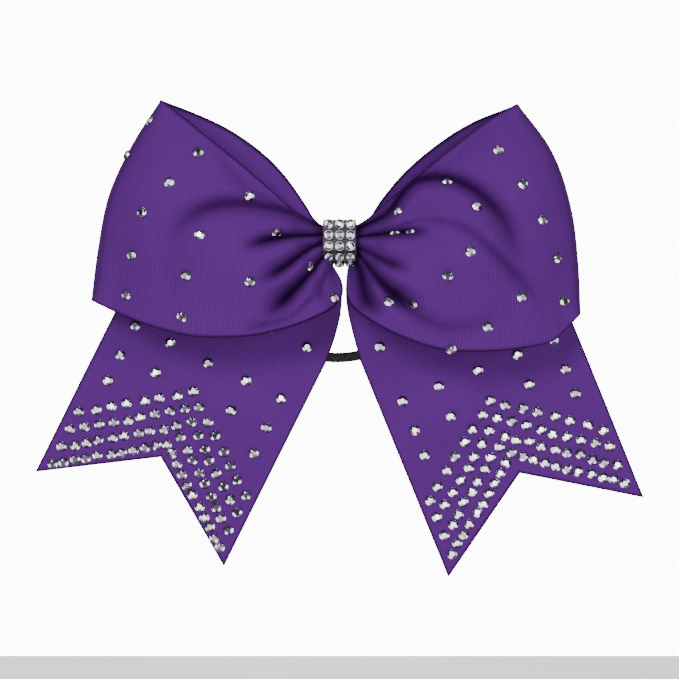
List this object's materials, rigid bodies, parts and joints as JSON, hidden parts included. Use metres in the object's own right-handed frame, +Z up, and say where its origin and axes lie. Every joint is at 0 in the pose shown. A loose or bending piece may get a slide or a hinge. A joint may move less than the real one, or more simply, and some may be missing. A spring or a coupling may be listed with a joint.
{
  "type": "cheer hair bow",
  "caption": "Large cheer hair bow of wide purple grosgrain ribbon: puffed loops, dovetailed tails with clear rhinestones, a rhinestone centre band and an elastic hair ring behind.",
  "frame": {"origin": "centre of the flat back of the centre wrap, where the bow lies against the hair", "axes": "+Z up, -Y out of the bow's front, +X to the right as seen from the front; +Y goes back through the wrap into the hair"},
  "size_m": [0.2198, 0.0339, 0.1717],
  "materials": {
    "ribbon": "purple polyester grosgrain, fine cross ribs, soft sheen",
    "crystal": "clear faceted rhinestone with a silvered back",
    "silver_net": "silver plated cup setting over a dark net",
    "nylon": "natural nylon cable tie",
    "elastic": "black braided cover over a rubber core"
  },
  "bodies": {
    "knot": {"ribbon_core": "ribbon", "cinch_tie": "nylon", "centre_wrap": "ribbon", "band_base": "silver_net", "band_stone_1_1": "crystal", "band_stone_1_2": "crystal", "band_stone_1_3": "crystal", "band_stone_2_1": "crystal", "band_stone_2_2": "crystal", "band_stone_2_3": "crystal", "band_stone_3_1": "crystal", "band_stone_3_2": "crystal", "band_stone_3_3": "crystal", "band_stone_4_1": "crystal", "band_stone_4_2": "crystal", "band_stone_4_3": "crystal", "band_stone_5_1": "crystal", "band_stone_5_2": "crystal", "band_stone_5_3": "crystal", "front_pleats_left": "ribbon", "front_pleats_right": "ribbon", "back_pleats_left": "ribbon", "back_pleats_right": "ribbon", "tail_root_left": "ribbon", "tail_root_right": "ribbon"},
    "left_loop": {"loop_left": "ribbon"},
    "right_loop": {"loop_right": "ribbon"},
    "left_tail": {"tail_left": "ribbon", "stone_row_left_1": "crystal", "stone_row_left_2": "crystal", "stone_row_left_3": "crystal", "stone_row_left_4": "crystal"},
    "right_tail": {"tail_right": "ribbon", "stone_row_right_1": "crystal", "stone_row_right_2": "crystal", "stone_row_right_3": "crystal", "stone_row_right_4": "crystal"},
    "elastic_ring": {"elastic_core": "elastic", "elastic_strand_left": "elastic", "elastic_strand_right": "elastic"},
    "elastic_end": {"elastic_bight": "elastic"}
  },
  "joints": [
    {"name": "left_loop_fold", "type": "hinge", "parent": "knot", "child": "left_loop", "pos_m": [-0.0154, -0.0175, 0], "axis": [0, 0, 1], "range_deg": [0, 35], "stiffness_Nm_per_rad": 0.02},
    {"name": "right_loop_fold", "type": "hinge", "parent": "knot", "child": "right_loop", "pos_m": [0.0154, -0.0175, 0], "axis": [0, 0, -1], "range_deg": [0, 35], "stiffness_Nm_per_rad": 0.02},
    {"name": "left_tail_swing", "type": "hinge", "parent": "knot", "child": "left_tail", "pos_m": [-0.048, -0.006, -0.047], "axis": [-1, 0, 0], "range_deg": [0, 60]},
    {"name": "right_tail_swing", "type": "hinge", "parent": "knot", "child": "right_tail", "pos_m": [0.048, -0.006, -0.047], "axis": [-1, 0, 0], "range_deg": [0, 60]},
    {"name": "elastic_swing", "type": "hinge", "parent": "knot", "child": "elastic_ring", "pos_m": [0, -0.0031, -0.0001], "axis": [1, 0, 0], "range_deg": [0, 100]},
    {"name": "elastic_stretch", "type": "slide", "parent": "elastic_ring", "child": "elastic_end", "axis": [0, 0, -1], "range_m": [0, 0.05], "stiffness_N_per_m": 60, "deforming": ["elastic_strand_left", "elastic_strand_right"]}
  ]
}
